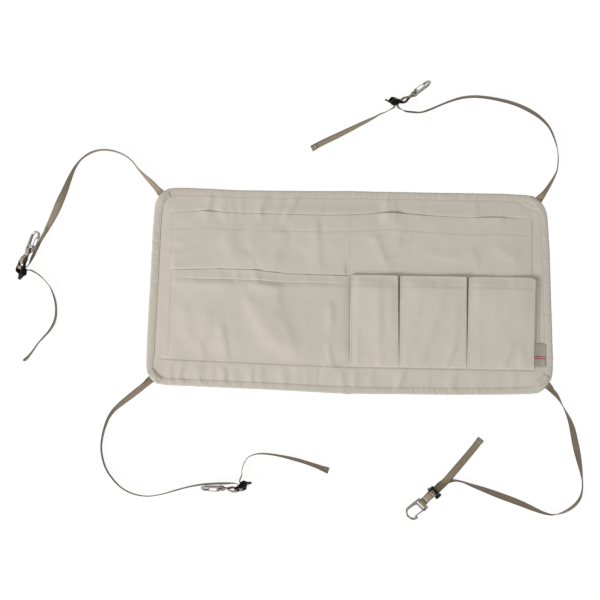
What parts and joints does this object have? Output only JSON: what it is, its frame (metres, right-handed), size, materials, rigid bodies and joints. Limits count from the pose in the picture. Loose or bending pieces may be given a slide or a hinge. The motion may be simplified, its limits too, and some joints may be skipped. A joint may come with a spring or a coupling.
{
  "type": "tent storage pocket",
  "caption": "Hanging canvas wall organiser with flat and bellows pockets, bound edges and adjustable corner straps ending in wire gate snap hooks.",
  "frame": {"origin": "centre of the panel's outline, on the surface it lies on", "axes": "+X along the panel's long side, towards the bellows pockets; +Y up the panel, towards the pockets' mouths; +Z out of the face that carries the pockets"},
  "size_m": [1.1494, 0.8827, 0.04],
  "materials": {
    "canvas": "matt cotton canvas, plain weave, washed",
    "label_cloth": "woven label, smooth",
    "webbing": "woven cotton webbing, slightly ribbed",
    "buckle_plastic": "black moulded acetal, satin",
    "hook_aluminium": "tumbled satin alloy",
    "gate_steel": "drawn spring wire, bright"
  },
  "bodies": {
    "pocket_panel": {"main_panel": "canvas", "edge_binding": "canvas", "back_pocket": "canvas", "left_pocket": "canvas", "bellows_pocket_left": "canvas", "bellows_pocket_middle": "canvas", "bellows_pocket_right": "canvas", "side_label": "label_cloth", "corner_tab_top_left": "canvas", "corner_tab_top_right": "canvas", "corner_tab_bottom_left": "canvas", "corner_tab_bottom_right": "canvas", "strap_top_left": "webbing", "strap_top_right": "webbing", "strap_bottom_left": "webbing", "strap_bottom_right": "webbing", "strap_tail_top_left": "webbing", "strap_tail_top_right": "webbing", "strap_tail_bottom_left": "webbing", "strap_tail_bottom_right": "webbing", "strap_wrap_top_left": "webbing", "strap_wrap_top_right": "webbing", "strap_wrap_bottom_left": "webbing", "strap_wrap_bottom_right": "webbing", "buckle_top_left": "buckle_plastic", "buckle_top_right": "buckle_plastic", "buckle_bottom_left": "buckle_plastic", "buckle_bottom_right": "buckle_plastic"},
    "loop_top_left": {"hook_loop_top_left": "webbing"},
    "loop_top_right": {"hook_loop_top_right": "webbing"},
    "loop_bottom_left": {"hook_loop_bottom_left": "webbing"},
    "loop_bottom_right": {"hook_loop_bottom_right": "webbing"},
    "hook_top_left": {"snap_hook_top_left": "hook_aluminium"},
    "hook_top_right": {"snap_hook_top_right": "hook_aluminium"},
    "hook_bottom_left": {"snap_hook_bottom_left": "hook_aluminium"},
    "hook_bottom_right": {"snap_hook_bottom_right": "hook_aluminium"},
    "gate_top_left": {"wire_gate_top_left": "gate_steel"},
    "gate_top_right": {"wire_gate_top_right": "gate_steel"},
    "gate_bottom_left": {"wire_gate_bottom_left": "gate_steel"},
    "gate_bottom_right": {"wire_gate_bottom_right": "gate_steel"}
  },
  "joints": [
    {"name": "loop_swing_top_left", "type": "hinge", "parent": "pocket_panel", "child": "loop_top_left", "pos_m": [-0.6567, 0.0449, 0.01886], "axis": [-0.6238, 0.1881, -0.7586], "range_deg": [-110, 2]},
    {"name": "loop_swing_top_right", "type": "hinge", "parent": "pocket_panel", "child": "loop_top_right", "pos_m": [0.0942, 0.3861, 0.01343], "axis": [-0.1582, 0.305, -0.9391], "range_deg": [-70, 4]},
    {"name": "loop_swing_bottom_left", "type": "hinge", "parent": "pocket_panel", "child": "loop_bottom_left", "pos_m": [-0.2194, -0.3993, 0.01707], "axis": [0.0318, -0.3788, -0.9249], "range_deg": [-110, 1]},
    {"name": "loop_swing_bottom_right", "type": "hinge", "parent": "pocket_panel", "child": "loop_bottom_right", "pos_m": [0.1755, -0.397, 0.00485], "axis": [0.7254, -0.6884, 0], "range_deg": [-34, 2]},
    {"name": "hook_swing_top_left", "type": "hinge", "parent": "loop_top_left", "child": "hook_top_left", "pos_m": [-0.64402, 0.07067, 0.01483], "axis": [-0.6238, 0.1881, -0.7586], "range_deg": [-100, 2]},
    {"name": "hook_swing_top_right", "type": "hinge", "parent": "loop_top_right", "child": "hook_top_right", "pos_m": [0.11853, 0.40184, 0.01444], "axis": [-0.1582, 0.305, -0.9391], "range_deg": [-100, 12]},
    {"name": "hook_swing_bottom_left", "type": "hinge", "parent": "loop_bottom_left", "child": "hook_bottom_left", "pos_m": [-0.24822, -0.39678, 0.01504], "axis": [0.0318, -0.3788, -0.9249], "range_deg": [-100, 1]},
    {"name": "hook_swing_bottom_right", "type": "hinge", "parent": "loop_bottom_right", "child": "hook_bottom_right", "pos_m": [0.15554, -0.41804, 0.00485], "axis": [0.7254, -0.6884, 0], "range_deg": [-100, 2]},
    {"name": "gate_open_top_left", "type": "hinge", "parent": "hook_top_left", "child": "gate_top_left", "pos_m": [-0.63456, 0.073, 0.02371], "axis": [-0.6881, 0.3282, 0.6472], "range_deg": [0, 25], "stiffness_Nm_per_rad": 0.03, "springref_deg": -28.65},
    {"name": "gate_open_top_right", "type": "hinge", "parent": "hook_top_right", "child": "gate_top_right", "pos_m": [0.12041, 0.40878, 0.00339], "axis": [0.6282, -0.7027, -0.334], "range_deg": [0, 25], "stiffness_Nm_per_rad": 0.03, "springref_deg": -28.65},
    {"name": "gate_open_bottom_left", "type": "hinge", "parent": "hook_bottom_left", "child": "gate_bottom_left", "pos_m": [-0.25283, -0.4016, 0.00367], "axis": [-0.0308, 0.9246, -0.3797], "range_deg": [0, 25], "stiffness_Nm_per_rad": 0.03, "springref_deg": -28.65},
    {"name": "gate_open_bottom_right", "type": "hinge", "parent": "hook_bottom_right", "child": "gate_bottom_right", "pos_m": [0.16095, -0.43006, 0.00485], "axis": [0, 0, -1], "range_deg": [0, 25], "stiffness_Nm_per_rad": 0.03, "springref_deg": -28.65}
  ]
}
